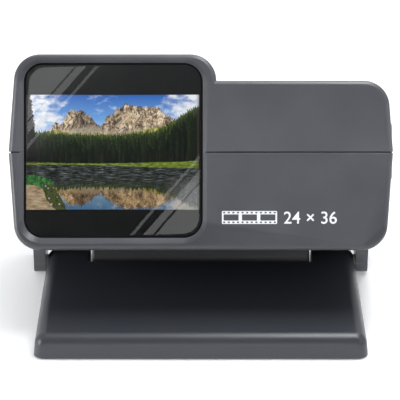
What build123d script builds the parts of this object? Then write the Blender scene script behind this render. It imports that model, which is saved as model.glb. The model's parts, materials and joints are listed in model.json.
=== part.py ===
from build123d import *
import math
import os

# Desk slide viewer on a low stand.  All sizes in millimetres.
# The head is drawn upright in its own frame: X to the right, Y from the face towards
# the rear, Z up from the split line between its two shells.  It is then leaned back
# about the two hinge screws and set on the stand.

# ---- housing of the head
housing_width = 199.8       # across the split line, where it is widest
housing_depth = 115.0
lens_side_height = 50.9     # split line to the top, over the lens
slide_headroom = 9.85       # top of a slide to the top of the housing, over the slide well
lens_side_border = 7.1      # window to where the taller lens side ends
side_draft = 4.2            # degrees, both ways from the split line
corner_radius = 13.7
face_edge_radius = 2.6
rear_edge_radius = 2.4
wall = 2.2
split_gap = 0.8             # shadow gap between the shells
split_groove_depth = 1.2
rear_cover_thickness = 3.0
fit_gap = 0.15              # between fixed pieces that slip into each other
move_gap = 0.3              # between a moving piece and what it passes
boss_radius = 4.0
boss_inset = 13.9           # rear screws in from the side, at the split line
boss_depth = 22.0           # length of the screw bosses in front of the rear cover
boss_web = 2.4

# ---- viewing window and lens
window_border = 7.9         # window to the housing's left side, at the split line
window_z = 1.0
window_half_width = 46.5
window_half_height = 45.5
window_corner = 10.0
window_depth = 3.0
window_chamfer_left = 2.6
window_chamfer_right = 2.1
window_chamfer_top = 1.4
window_chamfer_bottom = 2.8
lens_border = 0.3           # lens outline inside the window outline
lens_front = 1.5            # Y of the front vertex
lens_thickness = 32.0
front_radius = 333.84
front_conic = -4.31
rear_radius = 53.06
rear_conic = -3.15
lens_reach = 68.0           # radius out to which the lens surfaces are drawn
frame_wall = 1.5
frame_lip = 0.8             # how far the front lip of the frame covers the lens
frame_lip_thickness = 1.2
retainer_thickness = 1.5

# ---- slide and the track it runs in
slide_size = 50.0
slide_thickness = 2.0
slide_corner = 1.5
film_width = 38.0
film_height = 26.0
film_thickness = 0.14
picture_width = 35.0
picture_height = 23.0
slide_offset_x = -3.3       # middle of the slide from the middle of the window
slide_offset_z = 1.35
film_y = 84.5
gate_aperture = 40.0
gate_plate = 1.5
spring_strip = 0.4
track_end_gap = 5.9         # end of the track to the housing's left side
rail_height = 3.0

# ---- slide well
well_setback = 3.8          # well to the end of the lens side
well_front = 20.0
well_wall = 1.5
well_play = 0.5
follower_thickness = 3.0
follower_travel = 50.0
rod_radius = 1.5
rod_drop = 4.0              # rod below the well
bracket_margin = 2.0        # bracket below the rod
running_gap = 0.05

# ---- changer
blade_thickness = 1.6
blade_height = 30.0
knob_thickness = 6.3
knob_depth = 26.0
knob_height = 34.0
guide_setback = 5.6         # well to the guide
guide_end_gap = 1.7         # guide to the inside of the housing's right wall
guide_wall = 2.5
guide_margin = 4.0

# ---- lamp house
lamp_depth = 20.3
lamp_wall = 1.5
diffuser_setback = 2.3
diffuser_thickness = 2.0
board_thickness = 1.6
led_size = 5.0
led_thickness = 1.2
led_pitch = 13.0

# ---- battery box
cell_radius = 7.25
cell_length = 50.5
cell_row_gap = 0.1
spring_room = 8.05          # each end of a row of cells
plate_thickness = 0.5
battery_drop = 10.6         # box below the lower shell at its front
battery_rear_drop = 2.1     # and at its rear
battery_flat = 12.5         # level part of its underside
battery_wall = 1.8
battery_top_gap = 0.05      # under the follower's brackets
flange_reach = 3.2
flange_thickness = 1.5
door_side_step = 1.35
door_play = 0.5             # door taller than a cell
door_lift = 2.2             # door above the bottom of the housing
door_thickness = 2.4
door_pin_radius = 0.8

# ---- switch and supply socket on the rear cover
switch_inset = 16.9         # switch and socket in from the side
switch_z = 6.0
switch_width = 13.6
switch_height = 21.0
rocker_width = 9.4
rocker_half_height = 7.2
rocker_tilt = 10.0
rocker_axis_depth = 4.5
switch_depth = 15.0
jack_z = -22.0
jack_depth = 14.0
jack_bore_depth = 9.0
jack_radius = 4.2
jack_bore = 2.9
jack_pin_radius = 1.0

# ---- screws
screw_radius = 1.5
screw_head_radius = 3.0
screw_head = 1.8
screw_sink = 0.1            # how far the heads sit below the rear face

# ---- stand and hinge
lean = 25.3                 # degrees the head leans back at rest
stand_front = 99.4          # from the hinge axis forward to the foot of the front wall
stand_rear = 9.5            # from the hinge axis back to the rear wall
stand_height = 13.2
stand_rim_lift = 0.8        # shell rim above the table
stand_corner = 6.0
stand_draft = 6.0
stand_edge_radius = 6.5
stand_wall = 2.2
stand_overlap = 0.25        # foot of the stand's side wall beyond the lugs' inner faces
notch_side_gap = 1.3        # battery box to the notch
notch_front_gap = 1.73      # swing of the battery box to the notch
notch_edge_radius = 1.6
hinge_height = 6.5          # above the table
hinge_setback = 9.5         # hinge axis behind the front of the battery box
hinge_drop = 8.8            # and below the lower shell
lug_setback = 6.1           # lugs in from the housing's side, at the split line
lug_thickness = 6.8
lug_radius = 5.4
pin_radius = 2.0
pin_reach = 11.0            # how far each hinge screw reaches into the stand
pin_head_radius = 3.6
pin_head = 1.4
washer_radius = 4.4
washer_thickness = 1.1
hinge_pocket = 7.5          # half length of the flat each washer bears on
boss_wall = 2.0
base_plate_thickness = 1.2
base_gap = 0.6              # base plate inside the stand's wall
base_screw_radius = 1.2
foot_height = 1.3
foot_radius = 6.0
foot_inset = 11.25          # feet in from the stand's sides
foot_front_inset = 12.4

# ---- worked out from the sizes above
far = 400.0                 # past the whole part, for cuts that run right through
half_width = housing_width / 2
cover_front = housing_depth - rear_cover_thickness
boss_front = cover_front - boss_depth
window_x = -half_width + window_border + window_half_width
lens_side_end = window_x + window_half_width + lens_side_border
slide_x = window_x + slide_offset_x
slide_z = window_z + slide_offset_z
slide_side_height = slide_z + slide_size / 2 + slide_headroom
slide_front = film_y - slide_thickness / 2
slide_rear = film_y + slide_thickness / 2
track_front = slide_front - move_gap
spring_front = slide_rear + move_gap
track_rear = spring_front + spring_strip
well_half = slide_size / 2 + well_play
well_x = lens_side_end + well_setback + well_half
well_left = well_x - well_half
well_right = well_x + well_half
track_left = -half_width + track_end_gap
track_floor = slide_z - slide_size / 2 - move_gap
track_ceiling = slide_z + slide_size / 2 + move_gap
changer_stroke = well_x - slide_x
blade_front = film_y - blade_thickness / 2
blade_rear = film_y + blade_thickness / 2
blade_left = slide_x + slide_size / 2 + move_gap
guide_start = well_right + well_wall + guide_setback
guide_end = half_width - wall - guide_end_gap
lens_rear = lens_front + lens_thickness
lamp_front = track_rear + gate_plate
lamp_box_rear = lamp_front + lamp_depth
diffuser_front = lamp_front + diffuser_setback
rod_z_height = track_floor - well_wall - rod_drop
bracket_low = rod_z_height - rod_radius - bracket_margin

battery_top = bracket_low - battery_top_gap
cell_rear_y = cover_front - move_gap - cell_radius
cell_rear_z = battery_top - battery_wall - fit_gap - cell_radius
door_height = 2 * cell_radius + door_play
door_bottom = cell_rear_z - door_height / 2
door_top = door_bottom + door_height
door_axis_y = housing_depth - door_thickness / 2
door_axis_z = door_top - door_thickness / 2
lower_height = door_lift - door_bottom
battery_bottom = -lower_height - battery_drop
battery_rear_bottom = -lower_height - battery_rear_drop
cell_front_y = cell_rear_y - 2 * cell_radius - cell_row_gap
cell_front_z = battery_bottom + battery_wall + move_gap + cell_radius
battery_front = cell_front_y - cell_radius - move_gap - battery_wall
battery_slope_start = battery_front + battery_flat
battery_half_width = cell_length + spring_room + plate_thickness + battery_wall
door_half_width = battery_half_width - battery_wall - door_side_step

switch_x = half_width - switch_inset
switch_front = housing_depth - switch_depth
rocker_axis_y = housing_depth - rocker_axis_depth
jack_x = switch_x

hinge_y = battery_front + hinge_setback
hinge_z = -lower_height - hinge_drop
lug_outer = half_width - lug_setback
lug_inner = lug_outer - lug_thickness
pin_inner = lug_inner - pin_reach
stand_width = 2 * (lug_inner + stand_overlap)
notch_half_width = battery_half_width + notch_side_gap
notch_front = math.hypot(hinge_setback, battery_drop - hinge_drop) + notch_front_gap

parts = {}


def block(x0, x1, y0, y1, z0, z1):
    return Pos((x0 + x1) / 2, (y0 + y1) / 2, (z0 + z1) / 2) * Box(abs(x1 - x0), y1 - y0, z1 - z0)


def rod_x(x0, x1, y, z, radius):
    return Pos((x0 + x1) / 2, y, z) * Rot(0, 90, 0) * Cylinder(radius, abs(x1 - x0))


def rod_y(y0, y1, x, z, radius):
    return Pos(x, (y0 + y1) / 2, z) * Rot(90, 0, 0) * Cylinder(radius, y1 - y0)


def rod_z(z0, z1, x, y, radius):
    return Pos(x, y, (z0 + z1) / 2) * Cylinder(radius, z1 - z0)


def slab_y(sketch, y0, y1):
    """A flat outline drawn in X and Z, made solid from y0 to y1."""
    drawn = Plane((0, y1, 0), x_dir=(1, 0, 0), z_dir=(0, -1, 0)) * sketch
    return extrude(drawn, y1 - y0)


def slab_x(points, x0, x1):
    """A closed outline given as (Y, Z) points, made solid from x0 to x1."""
    drawn = Plane((x0, 0, 0), x_dir=(0, 1, 0), z_dir=(1, 0, 0)) * make_face(Polyline(points, close=True))
    return extrude(drawn, x1 - x0)


def group(pieces):
    """Separate solids that share one node."""
    return Compound([solid for piece in pieces for solid in piece.solids()])


def rounded_window(half_w, half_h, radius, x=window_x, z=window_z):
    return Pos(x, z) * RectangleRounded(2 * half_w, 2 * half_h, radius)


def sag(r, radius, conic):
    """Depth of a conic lens surface at distance r from its axis."""
    return r * r / (radius * (1 + math.sqrt(1 - (1 + conic) * (r / radius) ** 2)))


def slope(r, radius, conic):
    """How steeply that surface falls away at distance r."""
    return r / (radius * math.sqrt(1 - (1 + conic) * (r / radius) ** 2))


def screw(x, z, y_head, y_tip, head_radius=screw_head_radius, radius=screw_radius):
    """Countersunk into the rear cover, pointing forward."""
    shank = rod_y(y_tip, y_head - screw_head, x, z, radius)
    head = rod_y(y_head - screw_head, y_head, x, z, head_radius)
    slot = block(x - head_radius, x + head_radius, y_head - 0.6, y_head, z - 0.4, z + 0.4)
    cross = block(x - 0.4, x + 0.4, y_head - 0.6, y_head, z - head_radius, z + head_radius)
    return shank + head - slot - cross


# ---- outline of the head, as seen from the front

def head_outline():
    lean_in = math.tan(math.radians(side_draft))
    left_top = -half_width + lens_side_height * lean_in
    right_top = half_width - slide_side_height * lean_in
    left_low = -half_width + lower_height * lean_in
    points = [
        (-half_width, 0),
        (left_top, lens_side_height),
        (lens_side_end, lens_side_height),
        (lens_side_end, slide_side_height),
        (right_top, slide_side_height),
        (half_width, 0),
        (-left_low, -lower_height),
        (left_low, -lower_height),
    ]
    outline = make_face(Polyline(points, close=True))
    step_height = lens_side_height - slide_side_height
    at_step = [v for v in outline.vertices()
               if abs(v.X - lens_side_end) < 0.1 and v.Y > slide_side_height + 0.1]
    outline = fillet(at_step, min(corner_radius, step_height) - 0.05)
    outer = [v for v in outline.vertices() if abs(v.Y) > 1 and abs(v.X) > half_width / 2]
    return fillet(outer, corner_radius - 0.05)


outline = head_outline()
inner_outline = offset(outline, amount=-wall)
hull = slab_y(outline, 0, cover_front)
face_rim = hull.faces().sort_by(Axis.Y)[0].outer_wire().edges()
hull = fillet(face_rim, face_edge_radius)
cavity = slab_y(inner_outline, wall, cover_front + 1)
upper_space = block(-far, far, -far, far, 0, far)
lower_space = block(-far, far, -far, far, -far, 0)
shadow_gap = block(-far, far, -far, cover_front, -split_gap / 2, split_gap / 2) - block(
    -half_width + split_groove_depth, half_width - split_groove_depth,
    split_groove_depth, cover_front + 1, -1, 1)


def window_cut():
    mouth_w = 2 * window_half_width + window_chamfer_left + window_chamfer_right
    mouth_h = 2 * window_half_height + window_chamfer_top + window_chamfer_bottom
    mouth_x = window_x + (window_chamfer_right - window_chamfer_left) / 2
    mouth_z = window_z + (window_chamfer_top - window_chamfer_bottom) / 2
    face_plane = Plane((0, 0, 0), x_dir=(1, 0, 0), z_dir=(0, -1, 0))
    deep_plane = Plane((0, window_depth, 0), x_dir=(1, 0, 0), z_dir=(0, -1, 0))
    mouth = face_plane * rounded_window(mouth_w / 2, mouth_h / 2, window_corner + 1.8, mouth_x, mouth_z)
    throat = deep_plane * rounded_window(window_half_width, window_half_height, window_corner)
    return loft([throat, mouth])


window_collar = slab_y(
    rounded_window(window_half_width + 2, window_half_height + 2, window_corner + 2),
    wall - 0.2, window_depth) & hull
window_hole = window_cut() + slab_y(
    rounded_window(window_half_width, window_half_height, window_corner),
    window_depth - 0.01, window_depth + 1)


boss_x = half_width - boss_inset
boss_low = -lower_height + boss_inset
boss_places = [(-boss_x, lens_side_height - boss_inset - 1), (boss_x, slide_side_height - boss_inset + 1.7),
               (-boss_x, boss_low), (boss_x, boss_low)]


def boss(x, z):
    web_end = math.copysign(half_width - wall / 2, x)
    web = block(x, web_end, boss_front, cover_front, z - boss_web / 2, z + boss_web / 2)
    return (rod_y(boss_front, cover_front, x, z, boss_radius) + web) & hull


exit_slot = block(-far, track_left, track_front - move_gap, spring_front + move_gap,
                  track_floor - move_gap, track_ceiling + move_gap)
blade_slot = block(guide_end, far, blade_front - move_gap, blade_rear + move_gap,
                   slide_z - blade_height / 2 - move_gap, slide_z + blade_height / 2 + move_gap)
well_mouth = block(well_left, well_right, well_front, track_front, slide_side_height - 2 * wall, far)
boss_holes = group(rod_y(boss_front - 1, cover_front, x, z, screw_radius) for x, z in boss_places)


# ---- hinge lugs under the lower shell

lug_top = -lower_height + 2 * wall


def lug(side):
    """One ear under the housing that the hinge screw passes through."""
    root = [(hinge_y - 2 * lug_radius, lug_top), (hinge_y - 2 * lug_radius, -lower_height),
            (hinge_y - lug_radius, hinge_z), (hinge_y + lug_radius, hinge_z),
            (hinge_y + 2 * lug_radius, -lower_height), (hinge_y + 2 * lug_radius, lug_top)]
    x0 = lug_inner if side > 0 else -lug_outer
    x1 = lug_outer if side > 0 else -lug_inner
    ear = slab_x(root, x0, x1) + rod_x(x0, x1, hinge_y, hinge_z, lug_radius)
    return ear


battery_hole = block(-battery_half_width - fit_gap, battery_half_width + fit_gap,
                     battery_front - fit_gap, cover_front + 1, -far, -lower_height + wall + 0.1)

upper_shell = (hull & upper_space) - cavity + (window_collar & upper_space)
lower_shell = (hull & lower_space) - cavity + (window_collar & lower_space)
for x, z in boss_places:
    if z > 0:
        upper_shell += boss(x, z)
    else:
        lower_shell += boss(x, z)
for side in (-1, 1):
    lower_shell += lug(side)
    lower_shell -= rod_x(side * pin_inner, side * far, hinge_y, hinge_z, pin_radius)
    lower_shell -= rod_x(side * (lug_outer - pin_head), side * far, hinge_y, hinge_z, pin_head_radius)
upper_shell = upper_shell - window_hole - shadow_gap - exit_slot - blade_slot - well_mouth - boss_holes
lower_shell = lower_shell - window_hole - shadow_gap - exit_slot - blade_slot - battery_hole - boss_holes
parts["upper_shell"] = upper_shell
parts["lower_shell"] = lower_shell


# ---- rear cover with its openings

door_opening = block(-door_half_width - move_gap, door_half_width + move_gap, cover_front - 5,
                     housing_depth + 1, door_bottom - move_gap, door_top + move_gap)
switch_opening = block(switch_x - switch_width / 2, switch_x + switch_width / 2, cover_front - 5,
                       housing_depth + 1, switch_z - switch_height / 2, switch_z + switch_height / 2)
rear_cover = slab_y(outline, cover_front, housing_depth)
rear_rim = rear_cover.faces().sort_by(Axis.Y)[-1].outer_wire().edges()
rear_cover = fillet(rear_rim, rear_edge_radius)
rear_cover -= door_opening
rear_cover -= switch_opening
rear_cover -= rod_y(cover_front - 1, housing_depth + 1, jack_x, jack_z, jack_radius)
for x, z in boss_places:
    rear_cover -= rod_y(cover_front - 1, housing_depth, x, z, screw_radius)
    rear_cover -= rod_y(housing_depth - screw_head - screw_sink, housing_depth + 1, x, z,
                        screw_head_radius + fit_gap)
pin_end = 3.0               # the door's pin on either side of the door
rear_cover -= rod_x(-door_half_width - pin_end, door_half_width + pin_end, door_axis_y, door_axis_z,
                    door_pin_radius)
vent_pitch = 5.0
vent_gap = 1.6
vent_half = 16.0
for step in range(7):
    vent_z = slide_z + (step - 3) * vent_pitch
    rear_cover -= block(slide_x - vent_half, slide_x + vent_half, cover_front - 1, housing_depth + 1,
                        vent_z - vent_gap / 2, vent_z + vent_gap / 2)
parts["rear_cover"] = rear_cover
parts["cover_screws"] = group(
    screw(x, z, housing_depth - screw_sink, boss_front + 4) for x, z in boss_places)


# ---- lens and what holds it

lens_half_w = window_half_width - lens_border
lens_half_h = window_half_height - lens_border
lens_corner = window_corner - lens_border


retainer_front = lens_rear - sag(lens_half_h - frame_lip, rear_radius, rear_conic) + fit_gap
frame_rear = retainer_front + retainer_thickness


def lens_body():
    steps = 9
    front = [(r, lens_front + sag(r, front_radius, front_conic))
             for r in [lens_reach * i / steps for i in range(steps + 1)]]
    rear = [(r, lens_rear - sag(r, rear_radius, rear_conic))
            for r in [lens_reach * i / steps for i in range(steps + 1)]]
    front_line = Spline(*front, tangents=[(1, 0), (1, slope(lens_reach, front_radius, front_conic))])
    rear_line = Spline(*rear, tangents=[(1, 0), (1, -slope(lens_reach, rear_radius, rear_conic))])
    edge_line = Line(front[-1], rear[-1])
    axis_line = Line(front[0], rear[0])
    profile = make_face([front_line, edge_line, rear_line, axis_line])
    turned = revolve(profile, axis=Axis.Y)
    centred = Pos(window_x, 0, window_z) * turned
    return centred & slab_y(rounded_window(lens_half_w, lens_half_h, lens_corner), -far, far)


frame_half_w = lens_half_w + fit_gap + frame_wall
frame_half_h = lens_half_h + fit_gap + frame_wall
frame_corner = lens_corner + fit_gap + frame_wall
lens_bore = slab_y(rounded_window(lens_half_w + fit_gap, lens_half_h + fit_gap, lens_corner + fit_gap),
                   window_depth + frame_lip_thickness, far)
lip_hole = slab_y(rounded_window(lens_half_w - frame_lip, lens_half_h - frame_lip, lens_corner - 1),
                  -far, far)
lens_frame = slab_y(rounded_window(frame_half_w, frame_half_h, frame_corner), window_depth, frame_rear)
parts["lens_frame"] = lens_frame - lens_bore - lip_hole
parts["front_lens"] = lens_body()
retainer = slab_y(rounded_window(lens_half_w, lens_half_h, lens_corner), retainer_front, frame_rear)
parts["lens_retainer"] = retainer - lip_hole


# ---- light tunnel from the lens to the gate

tunnel_wall = 1.2
tunnel_corner = 1.0


def funnel(grow):
    front_plane = Plane((0, frame_rear, 0), x_dir=(1, 0, 0), z_dir=(0, -1, 0))
    rear_plane = Plane((0, track_front - gate_plate, 0), x_dir=(1, 0, 0), z_dir=(0, -1, 0))
    wide = front_plane * rounded_window(
        lens_half_w - frame_lip + grow, lens_half_h - frame_lip + grow, lens_corner - 1 + grow)
    gate_half = gate_aperture / 2 + grow
    narrow = rear_plane * rounded_window(gate_half, gate_half, tunnel_corner + grow, slide_x, slide_z)
    return loft([narrow, wide])


parts["light_tunnel"] = funnel(tunnel_wall) - funnel(0)


# ---- gate and slide track

gate_hole = block(slide_x - gate_aperture / 2, slide_x + gate_aperture / 2, 0, far,
                  slide_z - gate_aperture / 2, slide_z + gate_aperture / 2)
gate_low = track_floor - rail_height
gate_high = track_ceiling + rail_height
parts["gate_front_plate"] = block(track_left, well_left - well_wall, track_front - gate_plate, track_front,
                                  gate_low, gate_high) - gate_hole
channel = block(track_left, well_right + well_wall, track_rear, track_rear + gate_plate, gate_low, gate_high)
channel += block(track_left, well_right + well_wall, track_front, track_rear, gate_low, track_floor)
channel += block(track_left, well_left - well_wall, track_front, track_rear, track_ceiling, gate_high)
parts["gate_channel"] = channel - gate_hole
strips = []
for strip_z in (track_floor + 5.0, track_ceiling - 5.0):
    strips.append(block(slide_x - 22, slide_x + 22, spring_front, track_rear, strip_z - 2, strip_z + 2))
parts["pressure_springs"] = group(strips)


# ---- slide: a two-piece mount with the film between

slide_outline = Pos(slide_x, slide_z) * RectangleRounded(slide_size, slide_size, slide_corner)
picture_hole = block(slide_x - picture_width / 2, slide_x + picture_width / 2, 0, far,
                     slide_z - picture_height / 2, slide_z + picture_height / 2)
film_front = film_y - film_thickness / 2
film_rear = film_y + film_thickness / 2
film_pocket = block(slide_x - film_width / 2, slide_x + film_width / 2, film_front, film_rear,
                    slide_z - film_height / 2, slide_z + film_height / 2)
parts["slide_mount_front"] = slab_y(slide_outline, slide_front, film_front) - picture_hole
parts["slide_mount_rear"] = slab_y(slide_outline, film_front, slide_rear) - picture_hole - film_pocket
parts["slide_film"] = film_pocket


# ---- slide well, open at the top, and the sprung follower in it

well_floor = track_floor
well_roof = slide_side_height - wall
slot_half = 2.0
bracket_reach = 1.5
tab_front = 72.0
tab_rear = 80.0
well = block(well_left - well_wall, well_right + well_wall, well_front - well_wall, track_front,
             well_floor - well_wall, well_roof)
well -= block(well_left, well_right, well_front, track_front + 1, well_floor, well_roof + 1)
well -= block(well_x - slot_half, well_x + slot_half, well_front + bracket_reach, track_front + 1,
              well_floor - well_wall - 1, well_floor + 1)
for y0, y1 in ((well_front - well_wall, well_front + bracket_reach), (tab_rear + move_gap, track_front)):
    well += block(well_x - 5, well_x + 5, y0, y1, bracket_low, well_floor - well_wall)
well -= rod_y(well_front - well_wall - 1, track_front + 1, well_x, rod_z_height, rod_radius)
parts["slide_well"] = well
parts["follower_rod"] = rod_y(well_front - well_wall, track_front, well_x, rod_z_height, rod_radius)
follower_rear = blade_front - move_gap
follower = block(well_left + move_gap, well_right - move_gap, follower_rear - follower_thickness,
                 follower_rear, well_floor + move_gap, slide_z + slide_size / 2)
follower += block(well_x - slot_half + move_gap, well_x + slot_half - move_gap, tab_front,
                  track_front - move_gap, rod_z_height, well_floor + 4)
follower -= block(well_x - 5, well_x + 5, tab_rear, track_rear, bracket_low - 1, well_floor - well_wall + 1)
follower += block(well_x - 4, well_x + 4, tab_front, tab_rear, rod_z_height - 3, rod_z_height + 3)
follower -= rod_y(tab_front - 1, tab_rear + 1, well_x, rod_z_height, rod_radius + running_gap)
pull_tab = block(well_x - 8, well_x + 8, follower_rear - follower_thickness, follower_rear - 1,
                 slide_z + slide_size / 2, slide_side_height - 1.5)
parts["follower"] = follower + pull_tab
spring_drum = rod_x(well_x + 4.4, well_x + 12.4, tab_front + 4, rod_z_height + 0.3, 3.2)
spring_core = rod_x(well_x + 4.0, well_x + 13.0, tab_front + 4, rod_z_height + 0.3, 1.0)
parts["follower_spring"] = spring_drum - spring_core
parts["spring_spindle"] = spring_core


# ---- changer: blade, its guide and the knob at the right-hand end

blade_right = half_width + move_gap
blade_low = slide_z - blade_height / 2
blade_high = slide_z + blade_height / 2
blade = block(blade_left, blade_right, blade_front, blade_rear, blade_low, blade_high)
for hole_x in (guide_start - 2, guide_start + 12):
    blade -= rod_y(blade_front - 1, blade_rear + 1, hole_x, slide_z, 3.0)
parts["changer_blade"] = blade
guide = block(guide_start, guide_end, blade_front - guide_wall, blade_rear + guide_wall,
              blade_low - guide_margin, blade_high + guide_margin)
guide -= block(guide_start - 1, guide_end + 1, blade_front - move_gap, blade_rear + move_gap,
               blade_low - move_gap, blade_high + move_gap)
parts["changer_guide"] = guide
knob_middle = film_y + 1.0
knob = block(blade_right, blade_right + knob_thickness, knob_middle - knob_depth / 2,
             knob_middle + knob_depth / 2, slide_z - knob_height / 2, slide_z + knob_height / 2)
knob = fillet(knob.edges().filter_by(Axis.X), 5.0)
knob = fillet(knob.faces().sort_by(Axis.X)[-1].edges(), 2.0)
grip_pitch = 4.0
for step in range(5):
    grip_y = knob_middle + (step - 2) * grip_pitch
    knob -= block(blade_right + knob_thickness - 0.9, blade_right + knob_thickness + 1, grip_y - 0.8,
                  grip_y + 0.8, slide_z - knob_height / 2 + 5, slide_z + knob_height / 2 - 5)
parts["changer_knob"] = knob


# ---- lamp house behind the gate

lamp_half = slide_size / 2
lamp_box = block(slide_x - lamp_half, slide_x + lamp_half, lamp_front, lamp_box_rear,
                 slide_z - lamp_half, slide_z + lamp_half)
lamp_inner = lamp_half - lamp_wall
lamp_box -= block(slide_x - lamp_inner, slide_x + lamp_inner, lamp_front - 1, lamp_box_rear - lamp_wall,
                  slide_z - lamp_inner, slide_z + lamp_inner)
wire_hole_x = slide_x + 20
wire_hole_z = slide_z - 16
lamp_box -= rod_y(lamp_box_rear - 3, lamp_box_rear + 1, wire_hole_x, wire_hole_z, 2.4)
parts["lamp_box"] = lamp_box
parts["diffuser"] = block(slide_x - lamp_inner, slide_x + lamp_inner, diffuser_front,
                          diffuser_front + diffuser_thickness, slide_z - lamp_inner, slide_z + lamp_inner)
board_rear = lamp_box_rear - lamp_wall
board_front = board_rear - board_thickness
parts["led_board"] = block(slide_x - lamp_inner, slide_x + lamp_inner, board_front, board_rear,
                           slide_z - lamp_inner, slide_z + lamp_inner)
leds = []
for column in (-1, 0, 1):
    for row in (-1, 0, 1):
        led_x = slide_x + column * led_pitch
        led_z = slide_z + row * led_pitch
        leds.append(block(led_x - led_size / 2, led_x + led_size / 2, board_front - led_thickness,
                          board_front, led_z - led_size / 2, led_z + led_size / 2))
parts["leds"] = group(leds)


# ---- battery box hanging through the lower shell, its cells, contacts and door

def battery_profile(inset):
    """Side outline of the box, in Y and Z, drawn in by inset on every outer side."""
    slope = math.atan2(battery_rear_bottom - battery_bottom, cover_front - battery_slope_start)
    shift = inset / math.cos(slope)
    turn = inset * math.tan(slope / 2)
    rear_y = cover_front + (5 if inset else 0)
    rear_z = battery_rear_bottom + shift + (rear_y - cover_front) * math.tan(slope)
    return [(battery_front + inset, battery_top - inset), (battery_front + inset, battery_bottom + inset),
            (battery_slope_start - turn, battery_bottom + inset), (rear_y, rear_z),
            (rear_y, battery_top - inset)]


battery_box = slab_x(battery_profile(0), -battery_half_width, battery_half_width)
front_edges = battery_box.edges().filter_by(Axis.Z).sort_by(Axis.Y)[:2]
battery_box = fillet(front_edges, 1.5)
battery_room = slab_x(battery_profile(battery_wall), -battery_half_width + battery_wall,
                      battery_half_width - battery_wall)
flange_z = -lower_height + wall
flange = block(-battery_half_width - flange_reach, battery_half_width + flange_reach,
               battery_front - flange_reach, cover_front - 1, flange_z, flange_z + flange_thickness)
battery_box += flange
sill = block(-battery_half_width + 1, battery_half_width - 1, cover_front - battery_wall, cover_front,
             battery_rear_bottom, door_bottom - move_gap)
battery_box -= battery_room
battery_box += sill
wire_exit_x = battery_half_width - 4.0
battery_box -= rod_z(battery_top - 3, battery_top + 1, wire_exit_x, cell_front_y, 2.2)
parts["battery_box"] = battery_box
cells = []
for cell_y, cell_z, head in ((cell_front_y, cell_front_z, 1), (cell_rear_y, cell_rear_z, -1)):
    for place in (-1, 1):
        middle = place * cell_length / 2
        body_end = cell_length / 2 - 0.5
        body = rod_x(middle - body_end, middle + body_end, cell_y, cell_z, cell_radius)
        tip_reach = cell_length / 2 if place * head > 0 else cell_length / 2 + 0.5
        tip = rod_x(middle + head * (cell_length / 2 - 0.5), middle + head * tip_reach, cell_y, cell_z, 2.6)
        cells.append(body + tip)
parts["battery_cells"] = group(cells)
plate_outer = battery_half_width - battery_wall
plates = []
springs = []
for side in (-1, 1):
    x0 = min(side * plate_outer, side * (plate_outer - plate_thickness))
    for cell_y, cell_z in ((cell_front_y, cell_front_z), (cell_rear_y, cell_rear_z)):
        plates.append(block(x0, x0 + plate_thickness, cell_y - 6, cell_y + 6, cell_z - 5.5, cell_z + 5.5))
        coil = rod_x(side * (cell_length + 0.1), side * (plate_outer - plate_thickness), cell_y, cell_z, 3.0)
        coil -= rod_x(side * cell_length, side * plate_outer, cell_y, cell_z, 2.0)
        springs.append(coil)
parts["contact_plates"] = group(plates)
parts["contact_springs"] = group(springs)

door = block(-door_half_width, door_half_width, housing_depth - door_thickness, housing_depth,
             door_bottom, door_axis_z)
door += rod_x(-door_half_width, door_half_width, door_axis_y, door_axis_z, door_thickness / 2)
door -= rod_x(-door_half_width - 1, door_half_width + 1, door_axis_y, door_axis_z,
              door_pin_radius + running_gap)
door -= block(-9, 9, housing_depth - 0.8, housing_depth + 1, door_bottom + 2, door_bottom + 6)
parts["battery_door"] = door
parts["door_pin"] = rod_x(-door_half_width - pin_end, door_half_width + pin_end, door_axis_y, door_axis_z,
                          door_pin_radius)


# ---- switch and supply socket

switch_pocket_half = 9.0
switch_flange = 1.0
switch = block(switch_x - switch_width / 2, switch_x + switch_width / 2, switch_front, housing_depth,
               switch_z - switch_height / 2, switch_z + switch_height / 2)
switch += block(switch_x - switch_width / 2 - 1.6, switch_x + switch_width / 2 + 1.6, housing_depth,
                housing_depth + switch_flange, switch_z - switch_height / 2 - 1.6,
                switch_z + switch_height / 2 + 1.6)
switch -= block(switch_x - rocker_width / 2 - move_gap, switch_x + rocker_width / 2 + move_gap,
                rocker_axis_y - 3.6, far, switch_z - switch_pocket_half, switch_z + switch_pocket_half)
switch -= rod_x(switch_x - rocker_width / 2 - 1.5, switch_x + rocker_width / 2 + 1.5,
                rocker_axis_y, switch_z, 1.2 + running_gap)
parts["switch_body"] = switch
rocker_points = [(-1.5, -rocker_half_height), (-1.5, rocker_half_height), (4.9, rocker_half_height),
                 (3.4, 0), (4.9, -rocker_half_height)]
rocker = slab_x(rocker_points, -rocker_width / 2, rocker_width / 2)
rocker += rod_x(-rocker_width / 2 - 1.2, rocker_width / 2 + 1.2, 0, 0, 1.2)
parts["power_rocker"] = Pos(switch_x, rocker_axis_y, switch_z) * Rot(rocker_tilt, 0, 0) * rocker
jack_rear = housing_depth + 0.4
jack_front = housing_depth - jack_depth - 2
jack = rod_y(housing_depth - jack_depth, jack_rear, jack_x, jack_z, jack_radius)
jack += block(jack_x - 5, jack_x + 5, jack_front, cover_front, jack_z - 5, jack_z + 5)
jack -= rod_y(housing_depth - jack_bore_depth, housing_depth + 1, jack_x, jack_z, jack_bore)
parts["dc_jack"] = jack
parts["jack_pin"] = rod_y(
    housing_depth - jack_bore_depth, housing_depth - 1, jack_x, jack_z, jack_pin_radius)


# ---- wiring inside the head

wire_radius = 0.7


def wire(points, bend=4.0):
    path = FilletPolyline(*points, radius=bend)
    start = Plane(origin=path @ 0, z_dir=path % 0)
    return sweep(start * Circle(wire_radius), path=path)


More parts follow.
